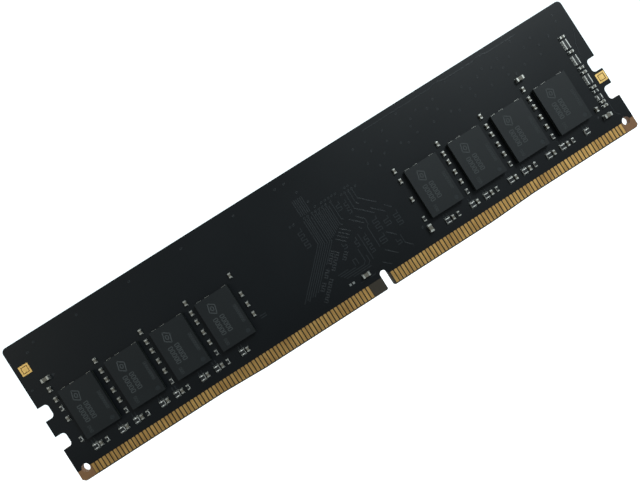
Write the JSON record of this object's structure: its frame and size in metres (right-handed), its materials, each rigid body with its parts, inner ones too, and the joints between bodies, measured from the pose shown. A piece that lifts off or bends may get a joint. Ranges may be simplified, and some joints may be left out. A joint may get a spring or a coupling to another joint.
{
  "type": "ram module",
  "caption": "Desktop memory module: a thin stepped circuit board with gold edge contacts, a keying slot, end latch notches and a row of flat memory packages on one side.",
  "frame": {"origin": "middle of the board's thickness and length, on the lowest line of the contact edge, where it seats in the socket", "axes": "+X along the contact edge, left to right seen from the side with the packages; +Y out of the bare back; +Z out of the socket, away from the contacts"},
  "size_m": [0.1334, 0.0033, 0.0312],
  "materials": {
    "laminate": "matte woven glass and epoxy",
    "copper": "bare copper foil",
    "solder_mask": "black satin coating",
    "gold": "hard gold plating",
    "mould_compound": "matte moulding compound",
    "substrate": "dark green-brown laminate",
    "silicon": "polished silicon",
    "solder": "solder",
    "ceramic": "fired barium titanate",
    "tin": "matte tin plating",
    "alumina": "white alumina",
    "resistor_glass": "black overglaze"
  },
  "bodies": {
    "root": {"laminate_core": "laminate", "prepreg_front": "laminate", "prepreg_back": "laminate", "plane_ground": "copper", "plane_power": "copper", "solder_mask_front": "solder_mask", "solder_mask_back": "solder_mask", "contacts_front_left": "gold", "contacts_front_right": "gold", "contacts_back_left": "gold", "contacts_back_right": "gold", "fiducial_pads": "gold", "signal_traces": "copper", "substrate_stubs": "gold", "capacitor_bodies": "ceramic", "capacitor_ends": "tin", "large_capacitor_bodies": "ceramic", "large_capacitor_ends": "tin", "resistor_bodies": "alumina", "resistor_ends": "tin", "resistor_array_bodies": "alumina", "resistor_array_ends": "tin", "resistor_coats": "resistor_glass", "solder_pads": "solder", "solder_fillets": "solder", "spd_body": "mould_compound", "spd_pads": "solder", "dram_1_mould": "mould_compound", "dram_1_substrate": "substrate", "dram_1_die": "silicon", "dram_1_balls": "solder", "dram_2_mould": "mould_compound", "dram_2_substrate": "substrate", "dram_2_die": "silicon", "dram_2_balls": "solder", "dram_3_mould": "mould_compound", "dram_3_substrate": "substrate", "dram_3_die": "silicon", "dram_3_balls": "solder", "dram_4_mould": "mould_compound", "dram_4_substrate": "substrate", "dram_4_die": "silicon", "dram_4_balls": "solder", "dram_5_mould": "mould_compound", "dram_5_substrate": "substrate", "dram_5_die": "silicon", "dram_5_balls": "solder", "dram_6_mould": "mould_compound", "dram_6_substrate": "substrate", "dram_6_die": "silicon", "dram_6_balls": "solder", "dram_7_mould": "mould_compound", "dram_7_substrate": "substrate", "dram_7_die": "silicon", "dram_7_balls": "solder", "dram_8_mould": "mould_compound", "dram_8_substrate": "substrate", "dram_8_die": "silicon", "dram_8_balls": "solder"}
  },
  "joints": []
}
